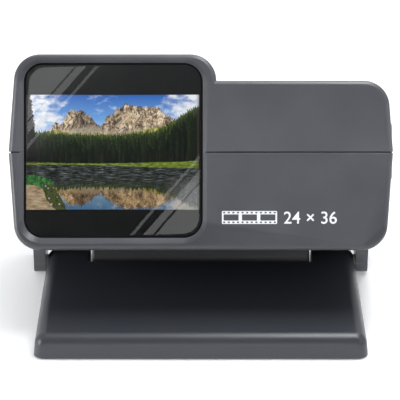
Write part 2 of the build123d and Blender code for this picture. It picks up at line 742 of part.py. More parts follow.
lead_turn = switch_front - 6.5
battery_lead_z = gate_low - wire_radius - move_gap
lamp_lead_z = battery_top + 2.5
jack_turn = switch_front - 4.2
battery_lead = wire([
    (wire_exit_x, cell_front_y, battery_top - 5), (wire_exit_x, cell_front_y, battery_lead_z),
    (switch_x - 3, cell_front_y, battery_lead_z), (switch_x - 3, lead_turn, battery_lead_z),
    (switch_x - 3, lead_turn, switch_z - 6), (switch_x - 3, switch_front, switch_z - 6)], 2.4)
lamp_lead = wire([
    (switch_x + 3, switch_front, switch_z - 2), (switch_x + 3, lead_turn, switch_z - 2),
    (switch_x + 3, lead_turn, lamp_lead_z), (wire_hole_x, lead_turn, lamp_lead_z),
    (wire_hole_x, lamp_box_rear + 2, lamp_lead_z), (wire_hole_x, lamp_box_rear + 2, wire_hole_z),
    (wire_hole_x, board_rear, wire_hole_z)], 1.6)
parts["red_wires"] = group([battery_lead, lamp_lead])
jack_lead = wire([
    (jack_x, jack_front, jack_z + 2), (jack_x, jack_turn, jack_z + 2), (jack_x, jack_turn, switch_z - 4.5),
    (jack_x, switch_front, switch_z - 4.5)], 1.5)
parts["black_wires"] = jack_lead


# ---- hinge screws, carried by the head

pins = []
for side in (-1, 1):
    shank = rod_x(side * pin_inner, side * lug_outer, hinge_y, hinge_z, pin_radius)
    head = rod_x(side * lug_outer, side * (lug_outer - pin_head), hinge_y, hinge_z, pin_head_radius)
    slot = block(side * lug_outer - 0.6, side * lug_outer + 0.6, hinge_y - 5, hinge_y + 5,
                 hinge_z - 0.4, hinge_z + 0.4)
    pins.append(shank + head - slot)
parts["hinge_screws"] = group(pins)


# ---- lean the head back about the hinge and set it at the hinge's height

to_stand = Pos(0, 0, hinge_height) * Rot(-lean, 0, 0) * Pos(0, -hinge_y, -hinge_z)
head_nodes = list(parts)
for node in head_nodes:
    parts[node] = to_stand * parts[node]


# ---- stand, drawn with the hinge axis above its own origin

stand_length = stand_front + stand_rear
stand_middle = (stand_rear - stand_front) / 2


def stand_block(inset, low, high):
    plate = RectangleRounded(stand_width - 2 * inset, stand_length - 2 * inset, stand_corner - inset / 2)
    return extrude(Pos(0, stand_middle, low) * plate, high - low, taper=stand_draft)


stand_shell = stand_block(0, stand_rim_lift, stand_height)
top_rim = stand_shell.faces().sort_by(Axis.Z)[-1].outer_wire().edges()
stand_shell = fillet(top_rim, stand_edge_radius)
notch = block(-notch_half_width, notch_half_width, -notch_front, far, -far, far)
stand_shell -= notch
notch_rim = [
    e for e in stand_shell.edges()
    if e.center().Z > stand_height - 0.05 and e.center().Y > -notch_front - 0.1
    and abs(e.center().X) < notch_half_width + 0.1
]
stand_shell = fillet(notch_rim, notch_edge_radius)
stand_room = stand_block(stand_wall, -1, stand_height - stand_wall)
stand_room -= block(-notch_half_width - stand_wall, notch_half_width + stand_wall, -notch_front - stand_wall,
                    far, -far, far)
stand_shell -= stand_room
pocket_face = lug_inner - washer_thickness - 0.1
for side in (-1, 1):
    stand_shell += rod_x(side * (pin_inner - 2), side * (pocket_face - 0.5), 0, hinge_height,
                         pin_radius + boss_wall)
    stand_shell -= block(side * pocket_face, side * far, -hinge_pocket, hinge_pocket, -far, far)
    stand_shell -= rod_x(side * (pin_inner - 0.5), side * far, 0, hinge_height, pin_radius + running_gap)
base_bottom = foot_height
base_top = base_bottom + base_plate_thickness
screw_x = notch_half_width - 2.2
screw_front = -stand_front + foot_front_inset - 1
screw_rear = -notch_front - 12.6
screw_places = [(side * screw_x, y) for y in (screw_front, screw_rear) for side in (-1, 1)]
for x, y in screw_places:
    stand_shell += rod_z(base_top, stand_height - stand_wall + 0.1, x, y, 3.2)
    stand_shell -= rod_z(base_top - 1, stand_height - stand_wall, x, y, base_screw_radius)
parts["stand_shell"] = stand_shell

base_plate = stand_block(stand_wall + base_gap, 0, 5) & block(-far, far, -far, far, base_bottom, base_top)
base_plate -= block(-notch_half_width - stand_wall - move_gap, notch_half_width + stand_wall + move_gap,
                    -notch_front - stand_wall - move_gap, far, -far, far)
for side in (-1, 1):
    base_plate -= block(side * (pocket_face - 1), side * far, -hinge_pocket - 1, hinge_pocket + 1, -far, far)
for x, y in screw_places:
    base_plate -= rod_z(0, 5, x, y, base_screw_radius)
parts["base_plate"] = base_plate
parts["base_screws"] = group(
    rod_z(base_bottom - 0.9, base_bottom, x, y, 2 * base_screw_radius)
    + rod_z(base_bottom, stand_height - stand_wall - 1, x, y, base_screw_radius)
    for x, y in screw_places)
foot_x = stand_width / 2 - foot_inset
foot_places = [(side * foot_x, y) for y in (-stand_front + foot_front_inset, 0) for side in (-1, 1)]
parts["rubber_feet"] = group(rod_z(0, base_bottom, x, y, foot_radius) for x, y in foot_places)
washers = []
for side in (-1, 1):
    washer = rod_x(side * pocket_face, side * (pocket_face + washer_thickness), 0, hinge_height,
                   washer_radius)
    washer -= rod_x(-far, far, 0, hinge_height, pin_radius + running_gap)
    washers.append(washer)
parts["friction_washers"] = group(washers)


# ---- stand the part on the middle of its own footprint

box = group(parts.values()).bounding_box()
shift = Pos(-(box.min.X + box.max.X) / 2, -(box.min.Y + box.max.Y) / 2, -box.min.Z)
placed = {node: shift * shape for node, shape in parts.items()}
head_to_part = shift * to_stand


def main():
    os.makedirs("parts", exist_ok=True)
    for node, shape in placed.items():
        export_step(shape, f"parts/{node}.step")
    print(len(placed), "nodes; shift", shift.position)


if __name__ == "__main__":
    main()
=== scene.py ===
import json
import math
import bmesh
import bpy
from mathutils import Matrix, Vector


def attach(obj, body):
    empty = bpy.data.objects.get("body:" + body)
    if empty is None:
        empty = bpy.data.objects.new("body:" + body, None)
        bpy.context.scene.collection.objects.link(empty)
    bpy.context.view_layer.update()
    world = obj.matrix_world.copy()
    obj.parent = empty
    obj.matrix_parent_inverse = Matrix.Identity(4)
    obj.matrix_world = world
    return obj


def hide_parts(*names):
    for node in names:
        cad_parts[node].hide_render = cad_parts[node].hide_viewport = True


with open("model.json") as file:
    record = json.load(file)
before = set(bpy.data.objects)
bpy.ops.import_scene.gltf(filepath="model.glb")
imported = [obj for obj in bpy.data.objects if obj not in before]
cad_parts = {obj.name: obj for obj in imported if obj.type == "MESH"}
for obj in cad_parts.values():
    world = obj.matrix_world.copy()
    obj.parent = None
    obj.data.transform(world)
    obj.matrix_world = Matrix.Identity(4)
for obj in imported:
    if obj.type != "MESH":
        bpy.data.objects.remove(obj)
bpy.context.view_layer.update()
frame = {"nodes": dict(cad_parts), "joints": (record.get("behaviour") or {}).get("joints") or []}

nodes = frame["nodes"]
mm = 0.001


# the head's own directions and zero point, read from the part

def jointNamed(name):
    return [j for j in frame["joints"] if j["name"] == name][0]


across = Vector((1, 0, 0))
rearward = -Vector(jointNamed("follower_load")["axis"]).normalized()  # from the face into the head
upward = across.cross(rearward).normalized()                          # up the face


def span(node, axis):
    held = nodes[node]
    reach = [(held.matrix_world @ v.co).dot(axis) for v in held.data.vertices]
    return min(reach), max(reach)


def middle(node, axis):
    low, high = span(node, axis)
    return (low + high) / 2


faceDepth = span("lower_shell", rearward)[0]
splitHeight = span("upper_shell", upward)[0]
headMiddle = middle("lower_shell", across)


def headPoint(x, y, z):
    # x across, y into the head from its face, z up the face from the split line, all in mm
    level = rearward * (faceDepth + y * mm) + upward * (splitHeight + z * mm)
    return across * (headMiddle + x * mm) + level


faceTurn = Matrix((across, upward, -rearward)).transposed()           # puts what is drawn in X and Y on the face


def placeOn(turn, point):
    placed = turn.to_4x4()
    placed.translation = point
    return placed


print("frame read")


# node helpers

def fromScreen(r, g, b):
    # 0..255 screen colour to scene light
    light = [(c / 255 / 12.92) if c <= 10 else ((c / 255 + 0.055) / 1.055) ** 2.4 for c in (r, g, b)]
    return (*light, 1.0)


def startMaterial(name):
    material = bpy.data.materials.new(name)
    material.use_nodes = True
    tree = material.node_tree
    tree.nodes.clear()
    return material, tree


def add(tree, kind, plugs=None, **settings):
    node = tree.nodes.new(kind)
    for key, value in settings.items():
        setattr(node, key, value)
    for key, value in (plugs or {}).items():
        if isinstance(value, bpy.types.NodeSocket):
            tree.links.new(value, node.inputs[key])
        else:
            node.inputs[key].default_value = value
    return node


def calc(tree, operation, a, b=0.0, c=0.0):
    return add(tree, "ShaderNodeMath", {0: a, 1: b, 2: c}, operation=operation).outputs[0]


def blendColor(tree, fac, a, b, how="MIX"):
    node = add(tree, "ShaderNodeMix", data_type="RGBA", blend_type=how)
    for socket, value in zip((node.inputs[0], node.inputs[6], node.inputs[7]), (fac, a, b)):
        if isinstance(value, bpy.types.NodeSocket):
            tree.links.new(value, socket)
        else:
            socket.default_value = value
    return node.outputs[2]


def step(tree, value, low, high):
    # 0 under low, 1 over high, smooth between
    node = add(tree, "ShaderNodeMapRange", {"Value": value, "From Min": low, "From Max": high},
               interpolation_type="SMOOTHSTEP")
    return node.outputs[0]


def spread(tree, value, low, high):
    return add(tree, "ShaderNodeMapRange", {"Value": value, "To Min": low, "To Max": high}).outputs[0]


def grainOf(tree, where, scale, detail=4.0, rough=0.55, kind="FBM", stretch=None):
    if stretch:
        where = add(tree, "ShaderNodeVectorMath", {0: where, 1: stretch}, operation="MULTIPLY").outputs[0]
    node = add(tree, "ShaderNodeTexNoise",
               {"Vector": where, "Scale": scale, "Detail": detail, "Roughness": rough}, noise_type=kind)
    return node.outputs[0]


def ramp(tree, fac, stops):
    node = add(tree, "ShaderNodeValToRGB", {0: fac})
    band = node.color_ramp
    band.elements[0].position, band.elements[0].color = stops[0]
    band.elements[1].position, band.elements[1].color = stops[-1]
    for place, color in stops[1:-1]:
        band.elements.new(place).color = color
    return node.outputs[0]


def line(tree, fac, points):
    # a height given as a few points, read at fac
    node = add(tree, "ShaderNodeFloatCurve", {1: fac})
    drawn = node.mapping.curves[0]
    drawn.points[0].location = points[0]
    drawn.points[1].location = points[-1]
    for place in points[1:-1]:
        drawn.points.new(*place)
    for place in drawn.points:
        place.handle_type = "VECTOR"
    node.mapping.update()
    return node.outputs[0]


def finishWith(tree, shader):
    add(tree, "ShaderNodeOutputMaterial", {0: shader})


# moulded plastics

def mouldedPlastic(name, look):
    material, tree = startMaterial(name)
    where = add(tree, "ShaderNodeTexCoord").outputs["Object"]
    cloud = grainOf(tree, where, look["cloudScale"], 3.0)
    grain = grainOf(tree, where, look["grainScale"], 2.0, 0.6)
    fleck = grainOf(tree, where, look["fleckScale"] * look["grainScale"], 1.0)
    edge = add(tree, "ShaderNodeNewGeometry").outputs["Pointiness"]
    patchy = calc(tree, "MULTIPLY", calc(tree, "SUBTRACT", cloud, 0.5), look["wearPatchy"])
    worn = step(tree, calc(tree, "ADD", edge, patchy), *look["wearEdge"])
    color = blendColor(tree, cloud, look["dark"], look["light"])
    color = blendColor(tree, calc(tree, "MULTIPLY", fleck, look["fleck"]), color, look["fleckColor"])
    color = blendColor(tree, calc(tree, "MULTIPLY", worn, look["wear"]), color, look["wearColor"])
    gloss = spread(tree, cloud, look["rough"] - look["smoother"], look["rough"] + look["rougher"])
    gloss = calc(tree, "SUBTRACT", gloss, calc(tree, "MULTIPLY", worn, look["polish"]))
    soft = add(tree, "ShaderNodeBevel", {"Radius": look["edge"]}, samples=4).outputs[0]
    height = calc(tree, "ADD", grain, calc(tree, "MULTIPLY", fleck, 0.4))
    bump = add(tree, "ShaderNodeBump", {"Height": height, "Strength": look["bump"],
                                       "Distance": look["grainDepth"], "Normal": soft}).outputs[0]
    shader = add(tree, "ShaderNodeBsdfPrincipled", {"Base Color": color, "Roughness": gloss, "Normal": bump,
                                                   "Specular IOR Level": look["gleam"]})
    finishWith(tree, shader.outputs[0])
    return material


housingLook = dict(dark=(0.050, 0.052, 0.059, 1), light=(0.060, 0.062, 0.070, 1), fleck=0.14,
                   fleckColor=(0.13, 0.132, 0.145, 1), wear=0.45, wearColor=(0.14, 0.142, 0.155, 1), rough=0.36,
                   edge=0.00035, bump=0.55, cloudScale=38, grainScale=1300, fleckScale=3.1, grainDepth=0.00008,
                   wearPatchy=0.04, wearEdge=(0.515, 0.60), smoother=0.05, rougher=0.06, polish=0.06, gleam=0.5)
# painted shade: a darker copy of the housing plastic for the lower shell and battery door, standing in for the
# lower half of the face lying less in the light
lowerShadedLook = dict(housingLook, dark=(0.036, 0.037, 0.042, 1), light=(0.045, 0.046, 0.052, 1))
boxLook = dict(housingLook, dark=(0.026, 0.025, 0.026, 1), light=(0.034, 0.033, 0.034, 1))
standLook = dict(housingLook, dark=(0.034, 0.037, 0.045, 1), light=(0.039, 0.042, 0.051, 1), wear=0.0,
                 bump=0.2, fleck=0.05)
blackLook = dict(housingLook, dark=(0.008, 0.008, 0.009, 1), light=(0.013, 0.013, 0.014, 1), fleck=0.05,
                 wear=0.15, rough=0.5)
flockLook = dict(blackLook, dark=(0.003, 0.003, 0.003, 1), light=(0.005, 0.005, 0.005, 1), rough=0.85,
                 gleam=0.08, wear=0.0)
mountLook = dict(housingLook, dark=(0.014, 0.014, 0.014, 1), light=(0.019, 0.019, 0.019, 1), fleck=0.08,
                 wear=0.1, rough=0.5, grainScale=2500)
whiteLook = dict(housingLook, dark=(0.72, 0.71, 0.69, 1), light=(0.80, 0.79, 0.77, 1), fleck=0.03,
                 fleckColor=(0.9, 0.9, 0.9, 1), wear=0.0, wearColor=(0.9, 0.9, 0.9, 1), rough=0.5)
washerLook = dict(whiteLook, dark=(0.55, 0.53, 0.45, 1), light=(0.62, 0.60, 0.52, 1), rough=0.35)
rubberLook = dict(housingLook, dark=(0.010, 0.010, 0.010, 1), light=(0.018, 0.018, 0.018, 1), fleck=0.12,
                  rough=0.78, bump=0.6, grainScale=900)
redLook = dict(whiteLook, dark=(0.40, 0.012, 0.010, 1), light=(0.50, 0.02, 0.015, 1),
               fleckColor=(0.6, 0.1, 0.08, 1), rough=0.35)
boardLook = dict(whiteLook, dark=(0.01, 0.09, 0.035, 1), light=(0.015, 0.13, 0.05, 1),
                 fleckColor=(0.1, 0.2, 0.1, 1), rough=0.3)
cellLook = dict(whiteLook, dark=(0.012, 0.014, 0.02, 1), light=(0.02, 0.022, 0.03, 1),
                fleckColor=(0.1, 0.1, 0.12, 1), rough=0.3)


def brushedMetal(name, look):
    material, tree = startMaterial(name)
    where = add(tree, "ShaderNodeTexCoord").outputs["Object"]
    streak = grainOf(tree, where, look["scale"], 3.0, 0.6, stretch=look["stretch"])
    cloud = grainOf(tree, where, look["cloudScale"], 3.0)
    color = blendColor(tree, streak, look["dark"], look["light"])
    gloss = spread(tree, calc(tree, "MULTIPLY", cloud, streak), look["rough"] - look["smoother"],
                   look["rough"] + look["rougher"])
    bump = add(tree, "ShaderNodeBump", {"Height": streak, "Strength": look["bump"],
                                       "Distance": look["grainDepth"]}).outputs[0]
    shader = add(tree, "ShaderNodeBsdfPrincipled",
                 {"Base Color": color, "Roughness": gloss, "Normal": bump, "Metallic": 1.0})
    finishWith(tree, shader.outputs[0])
    return material


steelLook = dict(dark=(0.40, 0.40, 0.41, 1), light=(0.62, 0.62, 0.63, 1), rough=0.28, scale=700,
                 stretch=(0.1, 1, 1), cloudScale=60, smoother=0.05, rougher=0.18, bump=0.15, grainDepth=0.00003)
nickelLook = dict(steelLook, dark=(0.55, 0.54, 0.50, 1), light=(0.75, 0.74, 0.70, 1), rough=0.15)


# lens, diffuser and lamps

def clearLens(name, look):
    material, tree = startMaterial(name)
    where = add(tree, "ShaderNodeTexCoord").outputs["Object"]
    haze = grainOf(tree, where, look["hazeScale"], 3.0)
    gloss = spread(tree, haze, 0.0, look["haze"])
    if look["coated"]:                                       # bends light but throws none back
        glass = add(tree, "ShaderNodeBsdfRefraction",
                    {"Color": look["tint"], "Roughness": gloss, "IOR": look["ior"]}, distribution="GGX")
    else:
        glass = add(tree, "ShaderNodeBsdfPrincipled",
                    {"Base Color": look["tint"], "Roughness": gloss, "IOR": look["ior"],
                     "Transmission Weight": 1.0})
    clear = add(tree, "ShaderNodeBsdfTransparent", {"Color": look["shadowTint"]})
    shadow = add(tree, "ShaderNodeLightPath").outputs["Is Shadow Ray"]
    mixed = add(tree, "ShaderNodeMixShader", {0: shadow, 1: glass.outputs[0], 2: clear.outputs[0]})
    finishWith(tree, mixed.outputs[0])
    return material


lensLook = dict(tint=(0.99, 0.995, 0.99, 1), ior=1.586, haze=0.01, hazeScale=55,
                shadowTint=(0.93, 0.94, 0.94, 1), coated=False)
bloomedLook = dict(lensLook, coated=True)              # rear surface, coated against glare


def glowing(name, look):
    material, tree = startMaterial(name)
    where = add(tree, "ShaderNodeTexCoord").outputs["Object"]
    cloud = grainOf(tree, where, look["cloudScale"], 3.0)
    color = blendColor(tree, cloud, look["dark"], look["light"])
    gloss = spread(tree, cloud, *look["rough"])
    shader = add(tree, "ShaderNodeBsdfPrincipled",
                 {"Base Color": color, "Roughness": gloss, "Emission Color": color,
                  "Emission Strength": look["glow"]})
    finishWith(tree, shader.outputs[0])
    return material


diffuserLook = dict(dark=(0.80, 0.80, 0.78, 1), light=(0.88, 0.88, 0.86, 1), glow=0.7, cloudScale=90,
                    rough=(0.3, 0.45))
ledLook = dict(diffuserLook, dark=(0.85, 0.72, 0.38, 1), light=(0.95, 0.85, 0.5, 1), glow=1.5)


# the picture on the film: a mountain lake; heights are drawn over u and v, 0 to 1 across and up the frame

pictureLook = dict(
    width=0.035, height=0.023, aspect=1.52, glow=1.0,
    shore=0.385, squeeze=1.41,              # water line, and how far the mirrored land is drawn out
    clouds=[(0, 0.80), (0.10, 0.74), (0.20, 0.62), (0.30, 0.20), (0.40, 0.40), (0.50, 0.44), (0.60, 0.14),
            (0.72, 0.28), (0.84, 0.62), (0.95, 0.80), (1, 0.70)],
    crest=[(0, 0.52), (0.09, 0.64), (0.16, 0.70), (0.185, 0.765), (0.215, 0.74), (0.255, 0.845),
           (0.275, 0.872), (0.305, 0.845), (0.325, 0.868), (0.345, 0.845), (0.378, 0.825), (0.402, 0.765),
           (0.437, 0.728), (0.455, 0.76), (0.48, 0.82), (0.503, 0.83), (0.533, 0.88), (0.556, 0.888),
           (0.578, 0.925), (0.60, 0.905), (0.644, 0.897), (0.674, 0.89), (0.726, 0.888), (0.77, 0.875),
           (0.785, 0.84), (0.822, 0.812), (0.86, 0.77), (1, 0.70)],
    rockShade=[(0, 0.1), (0.27, 0.10), (0.30, 0.55), (0.33, 0.85), (0.42, 0.9), (0.45, 0.2), (0.50, 0.5),
               (0.55, 0.3), (0.60, 0.05), (0.68, 0.1), (1, 0.0)],
    screeTop=[(0, 0.60), (0.2, 0.70), (0.33, 0.745), (0.42, 0.735), (0.5, 0.70), (0.7, 0.74), (0.85, 0.76),
              (1, 0.76)],
    meadowTop=[(0, 0.62), (0.08, 0.675), (0.2, 0.70), (0.3, 0.672), (0.45, 0.675), (0.55, 0.655),
               (0.62, 0.69), (0.74, 0.73), (0.82, 0.74), (1, 0.74)],
    forestTop=[(0, 0.67), (0.12, 0.665), (0.3, 0.645), (0.5, 0.64), (0.62, 0.655), (0.74, 0.67),
               (0.80, 0.715), (0.86, 0.775), (0.92, 0.835), (0.96, 0.868), (1, 0.895)],
    shoreTop=[(0, 0.415), (0.2, 0.412), (0.45, 0.408), (0.6, 0.412), (0.8, 0.42), (1, 0.43)],
    shoreLow=[(0, 0.398), (0.3, 0.396), (0.5, 0.388), (0.7, 0.378), (1, 0.368)],
    bankTop=[(0, 0.315), (0.08, 0.31), (0.14, 0.285), (0.18, 0.24), (0.2, 0.0), (1, 0.0)],
    scrubTop=[(0, 0.0), (0.10, 0.12), (0.13, 0.235), (0.17, 0.235), (0.20, 0.16), (0.235, 0.07), (0.25, 0.0),
              (1, 0.0)],
    sandTop=[(0, 0.232), (0.08, 0.222), (0.115, 0.19), (0.135, 0.1), (0.175, 0.03), (0.2, 0.0), (1, 0.0)],
    nearFir=[(0, 0.0), (0.40, 0.0), (0.43, 0.085), (0.6, 0.075), (0.8, 0.062), (1, 0.045)])

firRows = (   # from the far row to the near one; drop is how far its foot is under the forest's top
    dict(count=87, seed=3.0, tall=0.040, drop=0.0, dark=(44, 60, 28), light=(112, 126, 62)),
    dict(count=61, seed=11.0, tall=0.075, drop=-0.035, dark=(20, 34, 18), light=(76, 92, 46)),
    dict(count=43, seed=27.0, tall=0.12, drop=-0.085, dark=(8, 15, 11), light=(58, 76, 40)),
    dict(count=31, seed=41.0, tall=0.17, drop=-0.155, dark=(4, 9, 7), light=(44, 62, 34)))

pictureTones = dict(
    sky=[(0.62, (205, 222, 244)), (0.78, (110, 164, 226)), (1.0, (44, 96, 178))],
    cloudDark=(208, 214, 228), cloudLight=(255, 255, 255),
    stone=[(0.10, (38, 32, 36)), (0.30, (104, 88, 80)), (0.46, (178, 152, 122)), (0.62, (232, 212, 178)),
           (0.85, (252, 244, 222))],
    rockShade=(132, 128, 142), screeDark=(126, 116, 104), screeLight=(226, 214, 186),
    grass=[(0.36, (40, 54, 22)), (0.48, (118, 126, 48)), (0.62, (222, 206, 118))],
    forestDark=(8, 13, 9), forestTrunk=(84, 84, 66),
    evening=(236, 202, 130), deepWater=(20, 22, 22), wave=(150, 156, 160), sparkle=(196, 198, 200),
    waterHaze=(70, 72, 74),
    lawn=[(0.35, (52, 68, 22)), (0.5, (98, 118, 34)), (0.66, (150, 166, 76))],
    reed=[(0.35, (20, 46, 26)), (0.5, (44, 98, 50)), (0.68, (96, 140, 70))],
    pebble=[(0.1, (232, 230, 224)), (0.26, (128, 120, 104)), (0.4, (40, 48, 26)), (0.6, (70, 80, 38))],
    sand=[(0.35, (112, 94, 74)), (0.5, (160, 138, 110)), (0.66, (196, 178, 150))],
    bark=[(0.42, (3, 3, 3)), (0.62, (20, 19, 20)), (0.78, (84, 80, 88))],
    paintedEdgeShade=(64, 54, 48))


def tone(name):
    return fromScreen(*pictureTones[name])


def tones(tree, fac, name):
    return ramp(tree, fac, [(place, fromScreen(*color)) for place, color in pictureTones[name]])


def below(tree, top, v, low, high):
    # 1 under a drawn height, 0 over it
    return step(tree, calc(tree, "SUBTRACT", top, v), low, high)


def spires(tree, u, row):
    # pointed firs, each of its own height
    place = calc(tree, "MULTIPLY", u, row["count"])
    cell = calc(tree, "FLOOR", place)
    part = calc(tree, "FRACT", place)
    chance = add(tree, "ShaderNodeTexWhiteNoise", {"W": calc(tree, "ADD", cell, row["seed"])},
                 noise_dimensions="1D").outputs[0]
    away = calc(tree, "ABSOLUTE", calc(tree, "MULTIPLY_ADD", part, 2.0, -1.0))
    point = calc(tree, "SUBTRACT", 1.0, away)
    height = calc(tree, "MULTIPLY", point, calc(tree, "MULTIPLY_ADD", chance, 0.75, 0.25))
    return calc(tree, "MULTIPLY", height, row["tall"]), part, chance


def paintSky(tree, where, u, v, look):
    puff = grainOf(tree, where, 6.5, 8.0, 0.6, stretch=(1, 1.7, 1))
    banks = calc(tree, "MULTIPLY_ADD", line(tree, u, look["clouds"]), 0.6, -0.30)
    cloud = step(tree, calc(tree, "ADD", puff, banks), 0.46, 0.70)
    cloudColor = blendColor(tree, grainOf(tree, where, 12, 6.0), tone("cloudDark"), tone("cloudLight"))
    return blendColor(tree, cloud, tones(tree, v, "sky"), cloudColor)


def paintRock(tree, picture, where, u, v, look):
    # two massifs, with scree and meadow at their feet
    jag = calc(tree, "MULTIPLY_ADD", grainOf(tree, where, 30, 6.0, 0.75), 0.11, -0.058)
    rock = below(tree, calc(tree, "ADD", line(tree, u, look["crest"]), jag), v, -0.001, 0.003)
    warp = calc(tree, "MULTIPLY_ADD", grainOf(tree, where, 7, 4.0), 0.16, -0.08)
    shift = add(tree, "ShaderNodeCombineXYZ", {0: warp, 1: warp}).outputs[0]
    warped = add(tree, "ShaderNodeVectorMath", {0: where, 1: shift}).outputs[0]
    buttress = grainOf(tree, warped, 13, 10.0, 0.8, stretch=(1.9, 0.55, 1))
    facet = grainOf(tree, warped, 46, 5.0, 0.8, stretch=(1.2, 0.8, 1))
    relief = calc(tree, "MULTIPLY_ADD", buttress, 2.5, calc(tree, "MULTIPLY_ADD", facet, 2.0, -1.82))
    shade = calc(tree, "MULTIPLY", line(tree, u, look["rockShade"]), 0.8)
    stone = blendColor(tree, shade, tones(tree, relief, "stone"), tone("rockShade"), "MULTIPLY")
    picture = blendColor(tree, rock, picture, stone)
    screeTop = calc(tree, "MULTIPLY_ADD", jag, 0.9, line(tree, u, look["screeTop"]))
    scree = calc(tree, "MULTIPLY", below(tree, screeTop, v, 0.0, 0.05), 0.6)
    picture = blendColor(tree, scree, picture, blendColor(tree, facet, tone("screeDark"), tone("screeLight")))
    meadow = below(tree, calc(tree, "ADD", line(tree, u, look["meadowTop"]), jag), v, 0.0, 0.03)
    return blendColor(tree, meadow, picture, tones(tree, grainOf(tree, where, 26, 6.0, 0.75), "grass"))


def paintFirs(tree, picture, where, u, v, look):
    # row after row, each nearer, darker and taller, then the dark between the trunks
    slope = line(tree, u, look["forestTop"])
    for row in firRows:
        sway = calc(tree, "MULTIPLY_ADD", grainOf(tree, where, 22, 3.0), 0.03, u)
        spire, part, chance = spires(tree, sway, row)
        top = calc(tree, "ADD", calc(tree, "ADD", slope, row["drop"]), spire)
        ragged = calc(tree, "MULTIPLY_ADD", grainOf(tree, where, 120, 3.0, 0.8), 0.07, -0.035)
        firs = below(tree, calc(tree, "ADD", top, ragged), v, 0.0, 0.004)
        tuft = grainOf(tree, where, 85, 4.0, 0.85, stretch=(1.3, 0.6, 1))
        lit = step(tree, calc(tree, "SUBTRACT", 0.62, part), -0.10, 0.30)
        bright = calc(tree, "MULTIPLY_ADD", tuft, 3.2, calc(tree, "MULTIPLY_ADD", lit, 0.34, -1.62))
        bright = calc(tree, "ADD", bright, calc(tree, "MULTIPLY_ADD", chance, 0.5, -0.25))
        needles = blendColor(tree, add(tree, "ShaderNodeClamp", {0: bright}).outputs[0],
                             fromScreen(*row["dark"]), fromScreen(*row["light"]))
        picture = blendColor(tree, firs, picture, needles)
    dim = step(tree, calc(tree, "SUBTRACT", 0.58, v), 0.0, 0.14)
    trunk = step(tree, grainOf(tree, where, 60, 2.0, 0.5, stretch=(1.6, 0.06, 1)), 0.60, 0.66)
    dimTone = blendColor(tree, calc(tree, "MULTIPLY", trunk, 0.5), tone("forestDark"), tone("forestTrunk"))
    return blendColor(tree, calc(tree, "MULTIPLY", dim, 0.62), picture, dimTone)


def countryside(tree, u, v, look):
    where = add(tree, "ShaderNodeCombineXYZ", {0: calc(tree, "MULTIPLY", u, look["aspect"]), 1: v}).outputs[0]
    picture = paintSky(tree, where, u, v, look)
    picture = paintRock(tree, picture, where, u, v, look)
    return paintFirs(tree, picture, where, u, v, look)


def paintWater(tree, flat, u, v, look):
    # the same country upside down, drawn out and broken by ripples
    ripple = calc(tree, "MULTIPLY_ADD", grainOf(tree, flat, 14, 4.0, stretch=(0.6, 6.0, 1)), 0.05, -0.025)
    shake = calc(tree, "MULTIPLY_ADD", grainOf(tree, flat, 55, 3.0, stretch=(1.6, 0.25, 1)), 0.16, -0.08)
    mirrored = calc(tree, "SUBTRACT", look["shore"], v)
    mirrored = calc(tree, "MULTIPLY_ADD", mirrored, look["squeeze"], look["shore"])
    mirror = countryside(tree, calc(tree, "ADD", u, ripple), calc(tree, "ADD", mirrored, shake), look)
    evening = calc(tree, "MULTIPLY", step(tree, calc(tree, "SUBTRACT", 0.26, v), 0.0, 0.10), 0.55)
    mirror = blendColor(tree, evening, mirror, tone("evening"), "MULTIPLY")
    water = blendColor(tree, 0.30, mirror, tone("deepWater"))
    wave = step(tree, grainOf(tree, flat, 22, 6.0, 0.7, stretch=(0.45, 9.0, 1)), 0.50, 0.64)
    waveBand = calc(tree, "MULTIPLY", step(tree, v, 0.13, 0.33), step(tree, u, -0.1, 0.15))
    wave = calc(tree, "MULTIPLY", calc(tree, "MULTIPLY", wave, waveBand), 0.72)
    water = blendColor(tree, wave, water, tone("wave"))
    sparkle = step(tree, grainOf(tree, flat, 70, 3.0, 0.8, stretch=(1, 1.7, 1)), 0.47, 0.60)
    sparkleLow = step(tree, calc(tree, "SUBTRACT", 0.33, v), 0, 0.2)
    sparkleBand = calc(tree, "MULTIPLY", step(tree, u, 0.76, 0.98), sparkleLow)
    sparkle = calc(tree, "MULTIPLY", calc(tree, "MULTIPLY", sparkle, sparkleBand), 0.9)
    water = blendColor(tree, sparkle, water, tone("sparkle"))
    return blendColor(tree, calc(tree, "MULTIPLY", sparkleBand, 0.45), water, tone("waterHaze"))


def paintShore(tree, land, water, flat, u, v, rough, look):
    # far shore, then the near corner: reeds, scrub with pebbles, sand
    ground = below(tree, calc(tree, "MULTIPLY_ADD", rough, 0.5, line(tree, u, look["shoreTop"])), v, -0.002, 0.006)
    lawn = tones(tree, grainOf(tree, flat, 28, 6.0, 0.7, stretch=(0.6, 3, 1)), "lawn")
    picture = blendColor(tree, ground, land, lawn)
    wet = below(tree, calc(tree, "MULTIPLY_ADD", rough, 0.25, line(tree, u, look["shoreLow"])), v, -0.001, 0.005)
    picture = blendColor(tree, wet, picture, water)
    bank = below(tree, calc(tree, "ADD", line(tree, u, look["bankTop"]), rough), v, 0.0, 0.01)
    reed = tones(tree, grainOf(tree, flat, 40, 5.0, 0.7, stretch=(1, 0.6, 1)), "reed")
    picture = blendColor(tree, bank, picture, reed)
    scrub = below(tree, calc(tree, "MULTIPLY_ADD", rough, 1.2, line(tree, u, look["scrubTop"])), v, 0.0, 0.01)
    pebble = add(tree, "ShaderNodeTexVoronoi", {"Vector": flat, "Scale": 26.0, "Randomness": 0.9}).outputs[0]
    pebble = calc(tree, "ADD", pebble, calc(tree, "MULTIPLY", rough, 4))
    picture = blendColor(tree, scrub, picture, tones(tree, pebble, "pebble"))
    beach = below(tree, calc(tree, "MULTIPLY_ADD", rough, 0.6, line(tree, u, look["sandTop"])), v, 0.0, 0.008)
    sand = tones(tree, grainOf(tree, flat, 24, 7.0, 0.7, stretch=(0.5, 1.6, 1)), "sand")
    return blendColor(tree, beach, picture, sand)


